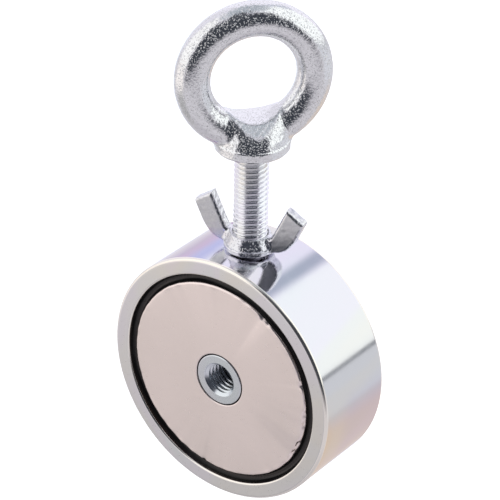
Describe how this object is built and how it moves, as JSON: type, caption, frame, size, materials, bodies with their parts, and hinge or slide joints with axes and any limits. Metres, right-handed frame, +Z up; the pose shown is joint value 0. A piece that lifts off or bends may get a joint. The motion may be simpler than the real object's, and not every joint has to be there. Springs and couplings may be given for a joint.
{
  "type": "magnet fishing magnet",
  "caption": "Double-sided fishing magnet: round steel pot with a ring magnet in each face, a forged rope eye bolt screwed into its side and a wing nut that locks it.",
  "frame": {"origin": "centre of the rope eye", "axes": "+Z up along the eye bolt, -Y out of the pot's front face, +X to the right when looking at that face"},
  "size_m": [0.06, 0.0288, 0.1199],
  "materials": {
    "zinc_steel": "bright zinc plating with a faint blue, violet and yellow passivation tint",
    "bush_steel": "turned and zinc plated",
    "nickel": "satin nickel plating over the magnet, faintly pink",
    "resin": "glossy black potting resin",
    "glue": "black bonding resin, hidden under the magnets",
    "forged_steel": "drop-forged skin under bright zinc plating, finely pitted",
    "nut_steel": "bright zinc plating, smooth hub and finely grained wings"
  },
  "bodies": {
    "eye_bolt": {"eye_bolt": "forged_steel"},
    "magnet": {"housing": "zinc_steel", "centre_bush": "bush_steel", "front_magnet": "nickel", "rear_magnet": "nickel", "front_resin_ring": "resin", "rear_resin_ring": "resin", "front_bush_seal": "resin", "rear_bush_seal": "resin", "front_glue_bed": "glue", "rear_glue_bed": "glue"},
    "wing_nut": {"wing_nut": "nut_steel"}
  },
  "joints": [
    {"name": "bolt_turn", "type": "hinge", "parent": "eye_bolt", "child": "magnet", "pos_m": [0, 0, -0.0424], "axis": [0, 0, 1], "continuous": true},
    {"name": "nut_travel", "type": "slide", "parent": "eye_bolt", "child": "wing_nut", "axis": [0, 0, 1], "range_m": [0, 0.01375]}
  ]
}
